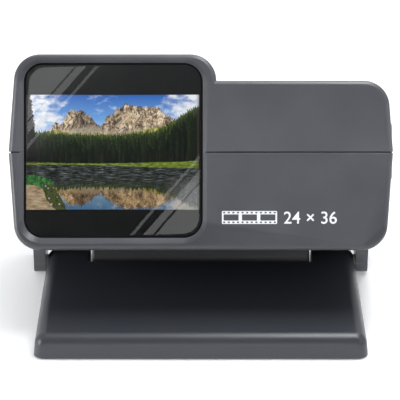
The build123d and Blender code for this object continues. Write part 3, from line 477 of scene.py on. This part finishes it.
def paintNearFir(tree, picture, flat, u, v, look):
    bough = calc(tree, "MULTIPLY_ADD", grainOf(tree, flat, 34, 5.0, 0.75), 0.075, -0.035)
    nearFir = below(tree, calc(tree, "ADD", line(tree, v, look["nearFir"]), bough), u, 0.0, 0.006)
    return blendColor(tree, nearFir, picture, tones(tree, grainOf(tree, flat, 75, 4.0, 0.8), "bark"))


def lakePicture(name, look):
    material, tree = startMaterial(name)
    where = add(tree, "ShaderNodeTexCoord").outputs["Object"]

    def along(axis, size):
        # 0 to 1 over the part of the film that the mount leaves clear
        start = middle("slide_film", axis) - size / 2
        reach = add(tree, "ShaderNodeVectorMath", {0: where, 1: tuple(axis)}, operation="DOT_PRODUCT")
        return calc(tree, "DIVIDE", calc(tree, "SUBTRACT", reach.outputs["Value"], start), size)

    u = along(across, look["width"])
    v = along(upward, look["height"])
    flat = add(tree, "ShaderNodeCombineXYZ", {0: calc(tree, "MULTIPLY", u, look["aspect"]), 1: v}).outputs[0]
    rough = calc(tree, "MULTIPLY_ADD", grainOf(tree, flat, 30, 5.0, 0.7), 0.05, -0.025)
    land = countryside(tree, u, v, look)
    water = paintWater(tree, flat, u, v, look)
    picture = paintShore(tree, land, water, flat, u, v, rough, look)
    picture = paintNearFir(tree, picture, flat, u, v, look)
    # painted shade: the picture darkens to a brown tone towards its left and right edges, as if the walls around
    # the window shadowed them
    paintedEdgeShade = step(tree, calc(tree, "MINIMUM", u, calc(tree, "SUBTRACT", 1.0, u)), 0.0, 0.035)
    picture = blendColor(tree, calc(tree, "SUBTRACT", 1.0, paintedEdgeShade), picture, tone("paintedEdgeShade"))
    # painted light: the picture glows with its own light, standing in for the lamp shining through the film; the
    # base colour stays near black
    shader = add(tree, "ShaderNodeBsdfPrincipled",
                 {"Base Color": (0.02, 0.02, 0.02, 1), "Roughness": spread(tree, rough, 0.28, 0.34),
                  "Emission Color": picture, "Emission Strength": look["glow"]})
    finishWith(tree, shader.outputs[0])
    return material


# white printing ink

inkLook = dict(dark=(0.72, 0.73, 0.74, 1), light=(0.86, 0.87, 0.88, 1), speckScale=120, rough=(0.4, 0.6))


def printInk(name, look):
    material, tree = startMaterial(name)
    where = add(tree, "ShaderNodeTexCoord").outputs["Generated"]
    speck = grainOf(tree, where, look["speckScale"], 3.0)
    color = blendColor(tree, speck, look["dark"], look["light"])
    shader = add(tree, "ShaderNodeBsdfPrincipled", {"Base Color": color,
                                                   "Roughness": spread(tree, speck, *look["rough"])})
    finishWith(tree, shader.outputs[0])
    return material


# every finish by name, and the pieces that wear it

finishes = {
    "housing": mouldedPlastic("housingPlastic", housingLook),
    "lowerShaded": mouldedPlastic("lowerShadedPlastic", lowerShadedLook),
    "box": mouldedPlastic("boxPlastic", boxLook),
    "stand": mouldedPlastic("standPlastic", standLook),
    "flock": mouldedPlastic("blackFlock", flockLook),
    "black": mouldedPlastic("blackPlastic", blackLook),
    "mount": mouldedPlastic("mountPlastic", mountLook),
    "white": mouldedPlastic("whitePlastic", whiteLook),
    "washer": mouldedPlastic("nylonWasher", washerLook),
    "rubber": mouldedPlastic("footRubber", rubberLook),
    "red": mouldedPlastic("redSleeve", redLook),
    "board": mouldedPlastic("solderMask", boardLook),
    "cell": mouldedPlastic("cellJacket", cellLook),
    "steel": brushedMetal("zincSteel", steelLook),
    "nickel": brushedMetal("brightNickel", nickelLook),
    "lens": clearLens("lensAcrylic", lensLook),
    "bloomed": clearLens("lensCoating", bloomedLook),
    "opal": glowing("opalDiffuser", diffuserLook),
    "led": glowing("ledPhosphor", ledLook),
    "film": lakePicture("selfLitFilmPicture", pictureLook),
    "ink": printInk("whiteInk", inkLook),
}

wears = {
    "housing": ["upper_shell", "rear_cover", "changer_knob"],
    "lowerShaded": ["lower_shell", "battery_door"],
    "box": ["battery_box"],
    "stand": ["stand_shell"],
    "flock": ["lens_frame", "lens_retainer", "light_tunnel"],
    "black": ["gate_front_plate", "gate_channel", "slide_well", "changer_guide", "changer_blade", "switch_body",
              "power_rocker", "dc_jack", "follower", "black_wires"],
    "mount": ["slide_mount_front", "slide_mount_rear"],
    "white": ["lamp_box"],
    "washer": ["friction_washers"],
    "rubber": ["rubber_feet"],
    "red": ["red_wires"],
    "board": ["led_board"],
    "cell": ["battery_cells"],
    "steel": ["cover_screws", "hinge_screws", "base_screws", "door_pin", "follower_rod", "follower_spring",
              "spring_spindle", "pressure_springs", "base_plate"],
    "nickel": ["contact_plates", "contact_springs", "jack_pin"],
    "lens": ["front_lens"],
    "opal": ["diffuser"],
    "led": ["leds"],
    "film": ["slide_film"],
}
for finish, names in wears.items():
    for name in names:
        held = nodes[name]
        held.data.materials.clear()
        held.data.materials.append(finishes[finish])
print("finishes on", sum(len(names) for names in wears.values()), "of", len(nodes), "nodes")


# lens: conic front, rear ground so that the slide looks flat and square to the viewer's eye

cameraLook = dict(distance=1000, aimX=-0.44, aimZ=-24.8, focal=173.7, film=36, nearest=0.05, farthest=50)
eye = headPoint(cameraLook["aimX"], -cameraLook["distance"], cameraLook["aimZ"])
lensShape = dict(frontRadius=333.84, frontConic=-4.31, corner=9.7, rings=48, spokes=240, shrink=0.377,
                 seenX=-46.2, seenZ=-0.1)


def rimRadius(angle, halfW, halfH, corner):
    # distance from the middle to a rounded rectangle, along angle
    dx, dy = abs(math.cos(angle)), abs(math.sin(angle))
    reach = min(halfW / dx if dx > 1e-9 else 1e9, halfH / dy if dy > 1e-9 else 1e9)
    cx, cy = halfW - corner, halfH - corner
    if reach * dx > cx and reach * dy > cy:
        along = dx * cx + dy * cy
        reach = along + math.sqrt(along * along - (cx * cx + cy * cy - corner * corner))
    return reach


def bent(ray, normal, ratio):
    # the ray after it has crossed a surface; the normal points the way the ray goes
    cosine = ray.dot(normal)
    turned = math.sqrt(1 - ratio * ratio * (1 - cosine * cosine)) - ratio * cosine
    return (ray * ratio + normal * turned).normalized()


def frontSag(r, look):
    radius, conic = look["frontRadius"] * mm, look["frontConic"]
    root = math.sqrt(1 - (1 + conic) * (r / radius) ** 2)
    return r * r / (radius * (1 + root)), r / (radius * root)


def frontPoint(vertex, x, z, look):
    # a point of the front surface and its normal, pointing into the lens
    r = math.hypot(x, z)
    depth, steep = frontSag(r, look)
    outward = (across * x + upward * z) / r if r else Vector()
    return vertex + across * x + upward * z + rearward * depth, (rearward - outward * steep).normalized()


def grindSpoke(look, vertex, thickness, angle, reach):
    # walks outwards; each step gets the slope that sends the eye's ray to its place on the film
    film = across * middle("slide_film", across) + upward * middle("slide_film", upward)
    film += rearward * span("slide_film", rearward)[0]
    seen = headPoint(look["seenX"], 0, look["seenZ"])
    points, normals = [], []
    for ring in range(look["rings"] + 1):
        r = reach * ring / look["rings"]
        front, normal = frontPoint(vertex, r * math.cos(angle), r * math.sin(angle), look)
        ray = (front - eye).normalized()
        window = eye + ray * ((vertex - eye).dot(rearward) / ray.dot(rearward))
        offset = window - seen
        target = film + (across * offset.dot(across) + upward * offset.dot(upward)) * look["shrink"]
        inside = bent(ray, normal, 1 / lensLook["ior"])

        def slopeAt(point):
            return (inside * lensLook["ior"] - (target - point).normalized()).normalized()

        if ring == 0:
            point = front + inside * (thickness / inside.dot(rearward))
        else:
            face = normals[-1]
            for again in range(2):
                point = front + inside * ((points[-1] - front).dot(face) / inside.dot(face))
                face = (normals[-1] + slopeAt(point)).normalized()
        points.append(point)
        normals.append(slopeAt(point))
    return points, normals


def makeLens(look):
    low, high = span("front_lens", across)
    foot, top = span("front_lens", upward)
    near, far = span("front_lens", rearward)
    halfW, halfH = (high - low) / 2, (top - foot) / 2
    vertex = across * (low + high) / 2 + upward * (foot + top) / 2 + rearward * near
    rings, spokes = look["rings"], look["spokes"]
    sides = {"front": [], "rear": []}
    for spoke in range(spokes):
        angle = 2 * math.pi * spoke / spokes
        reach = rimRadius(angle, halfW, halfH, look["corner"] * mm)
        ends, _ = grindSpoke(look, vertex, far - near, angle, reach)
        edge = ends[-1] - vertex
        edge = math.hypot(edge.dot(across), edge.dot(upward))
        sides["rear"].append(list(zip(*grindSpoke(look, vertex, far - near, angle, reach * reach / edge))))
        made = []
        for ring in range(rings + 1):
            r = reach * ring / rings
            point, normal = frontPoint(vertex, r * math.cos(angle), r * math.sin(angle), look)
            made.append((point, -normal))
        sides["front"].append(made)
    points, normals, faces, kinds = [], [], [], []
    for kind, side in enumerate(("front", "rear")):
        start = len(points)
        grown = sides[side]
        points.append(grown[0][0][0])
        normals.append(grown[0][0][1])
        for ring in range(1, rings + 1):
            for spoke in range(spokes):
                points.append(grown[spoke][ring][0])
                normals.append(grown[spoke][ring][1])
        for spoke in range(spokes):
            after = (spoke + 1) % spokes
            corners = [start, start + 1 + spoke, start + 1 + after]
            faces.append(corners if side == "front" else corners[::-1])
            kinds.append(kind)
            for ring in range(rings - 1):
                inner, outer = start + 1 + ring * spokes, start + 1 + (ring + 1) * spokes
                corners = [inner + spoke, outer + spoke, outer + after, inner + after]
                faces.append(corners if side == "front" else corners[::-1])
                kinds.append(kind)
    rimFront = 1 + (rings - 1) * spokes
    rimRear = rimFront + 1 + rings * spokes
    for spoke in range(spokes):
        after = (spoke + 1) % spokes
        faces.append([rimFront + spoke, rimRear + spoke, rimRear + after, rimFront + after])
        kinds.append(2)
    shape = bpy.data.meshes.new("viewing_lens")
    shape.from_pydata([tuple(p) for p in points], [], faces)
    shape.update()
    loops = []
    for face, kind in zip(shape.polygons, kinds):
        face.use_smooth = True
        face.material_index = 1 if kind else 0
        loops += [tuple(face.normal) if kind == 2 else tuple(normals[v]) for v in face.vertices]
    lens = bpy.data.objects.new("viewing_lens", shape)
    bpy.context.scene.collection.objects.link(lens)
    lens.data.materials.append(finishes["lens"])
    lens.data.materials.append(finishes["bloomed"])
    shape.normals_split_custom_set(loops)
    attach(lens, "viewer")
    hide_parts("front_lens")
    return lens


makeLens(lensShape)
print("lens ground")


# printing on the face: a strip of film and the frame size it takes

printLook = dict(left=10.9, foot=-37.2, height=6.7, lift=0.03, thickness=0.02, stripEnd=39.5, figuresStart=42.8,
                 figures="24 × 36", figureHeight=8.9, figureRise=0.2, boldness=0.06, stripCorner=0.5,
                 holes=12, holeWidth=1.1, holeHeight=0.8, holeInset=0.45, holeCorner=0.15,
                 frames=3, frameWidth=7.8, frameInset=1.75, frameCorner=0.3)


def roundedLoop(x0, y0, x1, y1, radius, steps=5):
    points = []
    for cx, cy, start in ((x1 - radius, y0 + radius, -90), (x1 - radius, y1 - radius, 0),
                          (x0 + radius, y1 - radius, 90), (x0 + radius, y0 + radius, 180)):
        for i in range(steps + 1):
            angle = math.radians(start + 90 * i / steps)
            points.append((cx + radius * math.cos(angle), cy + radius * math.sin(angle)))
    return points


def printShape(name, loops, turn, at, thickness):
    drawn = bpy.data.curves.new(name, "CURVE")
    drawn.dimensions = "2D"
    drawn.fill_mode = "BOTH"
    drawn.extrude = thickness / 2 * mm
    for loop in loops:
        spline = drawn.splines.new("POLY")
        spline.points.add(len(loop) - 1)
        for point, (x, y) in zip(spline.points, loop):
            point.co = (x * mm, y * mm, 0, 1)
        spline.use_cyclic_u = True
    piece = bpy.data.objects.new(name, drawn)
    bpy.context.scene.collection.objects.link(piece)
    piece.matrix_world = placeOn(turn, at)
    drawn.materials.append(finishes["ink"])
    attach(piece, "viewer")


def printFace(look):
    # a strip of film: three frames between two rows of holes
    width = look["stripEnd"] - look["left"]
    loops = [roundedLoop(0, 0, width, look["height"], look["stripCorner"])]
    half, tall = look["holeWidth"] / 2, look["holeHeight"]
    for i in range(look["holes"]):
        x = (i + 0.5) * width / look["holes"]
        for y in (look["holeInset"], look["height"] - look["holeInset"] - tall):
            loops.append(roundedLoop(x - half, y, x + half, y + tall, look["holeCorner"], 2))
    half, inset = look["frameWidth"] / 2, look["frameInset"]
    for i in range(look["frames"]):
        x = width * (i + 0.5) / look["frames"]
        loops.append(roundedLoop(x - half, inset, x + half, look["height"] - inset, look["frameCorner"], 3))
    printShape("print_film_strip", loops, faceTurn, headPoint(look["left"], -look["lift"], look["foot"]),
               look["thickness"])
    words = bpy.data.curves.new("print_figures", "FONT")
    words.body = look["figures"]
    words.size = look["figureHeight"] * mm
    words.extrude = look["thickness"] / 2 * mm
    words.offset = look["boldness"] * mm
    words.materials.append(finishes["ink"])
    piece = bpy.data.objects.new("print_figures", words)
    bpy.context.scene.collection.objects.link(piece)
    at = headPoint(look["figuresStart"], -look["lift"], look["foot"] + look["figureRise"])
    piece.matrix_world = placeOn(faceTurn, at)
    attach(piece, "viewer")


printFace(printLook)
print("face printed")


# stage: pale floor, soft lights, camera square to the face

floorLook = dict(reach=3.0, squares=8, dark=(0.93, 0.93, 0.93, 1), light=(0.95, 0.95, 0.95, 1), cloudScale=3,
                 rough=0.7, glow=0.22)


def makeFloor(look):
    mesh = bmesh.new()
    bmesh.ops.create_grid(mesh, x_segments=look["squares"], y_segments=look["squares"], size=look["reach"])
    shape = bpy.data.meshes.new("floor")
    mesh.to_mesh(shape)
    mesh.free()
    floor = bpy.data.objects.new("floor", shape)
    bpy.context.scene.collection.objects.link(floor)
    material, tree = startMaterial("paleFloor")
    where = add(tree, "ShaderNodeTexCoord").outputs["Object"]
    cloud = grainOf(tree, where, look["cloudScale"], 2.0)
    color = blendColor(tree, cloud, look["dark"], look["light"])
    shader = add(tree, "ShaderNodeBsdfPrincipled", {"Base Color": color, "Roughness": look["rough"],
                                                   "Emission Color": color, "Emission Strength": look["glow"]})
    finishWith(tree, shader.outputs[0])
    floor.data.materials.append(material)


def softLight(name, place, aim, size, power, color=(1, 1, 1)):
    lamp = bpy.data.lights.new(name, "AREA")
    lamp.shape = "RECTANGLE"
    lamp.size, lamp.size_y = size
    lamp.energy = power
    lamp.color = color
    held = bpy.data.objects.new(name, lamp)
    bpy.context.scene.collection.objects.link(held)
    aimed = (Vector(aim) - Vector(place)).to_track_quat("-Z", "Y").to_matrix()
    held.matrix_world = placeOn(aimed, Vector(place))
    return held


lensX = middle("front_lens", across)
lensZ = middle("front_lens", upward)
lensFace = across * lensX + upward * lensZ + rearward * faceDepth


def makeCamera(look):
    cam = bpy.data.cameras.new("camera")
    cam.lens = look["focal"]
    cam.sensor_width = look["film"]
    cam.clip_start, cam.clip_end = look["nearest"], look["farthest"]
    held = bpy.data.objects.new("camera", cam)
    bpy.context.scene.collection.objects.link(held)
    held.matrix_world = placeOn(faceTurn, eye)
    bpy.context.scene.camera = held


stripLook = dict(lean=49, spread=8.0, length=30, glow=4.4,
                 bands=((44.9, 60.0, 1.15), (40.2, 43.9, 1.1), (35.0, 36.5, 0.9)))   # inner edge, outer edge, brightness


def reflections(look):
    # slanted strips level with the camera; each is mirrored in the lens as a band across a corner
    lean = math.radians(look["lean"])
    along = across * math.cos(lean) + upward * math.sin(lean)
    outward = across * -math.sin(lean) + upward * math.cos(lean)
    aside = (eye - lensFace) - rearward * (eye - lensFace).dot(rearward)
    for side in (1, -1):
        for i, (inner, outer, bright) in enumerate(look["bands"]):
            reach = side * (inner + outer) / 2 * mm * look["spread"]
            width = (outer - inner) * mm * look["spread"]
            length = 2 * look["length"] * mm * look["spread"]
            place = lensFace - rearward * (cameraLook["distance"] * mm) + outward * reach - aside
            power = bright * look["glow"] * width * length
            strip = softLight(f"strip{side}{i}", place, lensFace, (length, width), power)
            strip.matrix_world = placeOn(Matrix((along, outward, -rearward)).transposed(), place)


centre = Vector((0, 0, 0.07))
lampLooks = dict(
    keyLight=dict(place=(0.30, -0.05, 1.6), aim=centre, size=(0.8, 0.6), power=7),
    fillLight=dict(place=(1.2, -0.9, 0.9), aim=centre, size=(0.7, 0.7), power=3.6, color=(0.90, 0.95, 1.0)),
    backLight=dict(place=(0.1, 1.1, 1.3), aim=centre, size=(1.6, 0.5), power=12),
    topLight=dict(place=headPoint(120, -120, 260), aim=headPoint(60, 0, 10), size=(0.22, 0.12), power=0.85,
                  color=(0.96, 0.98, 1.0)),
    lowLight=dict(place=(0.0, -0.95, 0.10), aim=(0, 0, 0), size=(0.9, 0.16), power=1.0, color=(0.94, 0.97, 1.0)),
    leftLight=dict(place=(-0.55, -0.25, 0.16), aim=(-0.05, -0.04, 0.01), size=(0.2, 0.3), power=1.8))
skyLook = dict(around=(0.62, 0.63, 0.66, 1), ahead=(0.03, 0.03, 0.03, 1), start=0.35, full=0.90, glow=0.9)


def makeSky(look):
    # pale all round, darker ahead of the face so that the lens stays clear
    world = bpy.data.worlds.new("studio")
    world.use_nodes = True
    tree = world.node_tree
    facing = add(tree, "ShaderNodeVectorMath", {0: add(tree, "ShaderNodeTexCoord").outputs["Generated"],
                                                1: tuple(-rearward)}, operation="DOT_PRODUCT").outputs["Value"]
    color = blendColor(tree, step(tree, facing, look["start"], look["full"]), look["around"], look["ahead"])
    background = tree.nodes["Background"]
    tree.links.new(color, background.inputs["Color"])
    background.inputs["Strength"].default_value = look["glow"]
    bpy.context.scene.world = world


makeFloor(floorLook)
makeCamera(cameraLook)
for name, look in lampLooks.items():
    softLight(name, **look)
reflections(stripLook)
makeSky(skyLook)
bpy.context.scene.view_settings.view_transform = "Standard"
print("stage set")
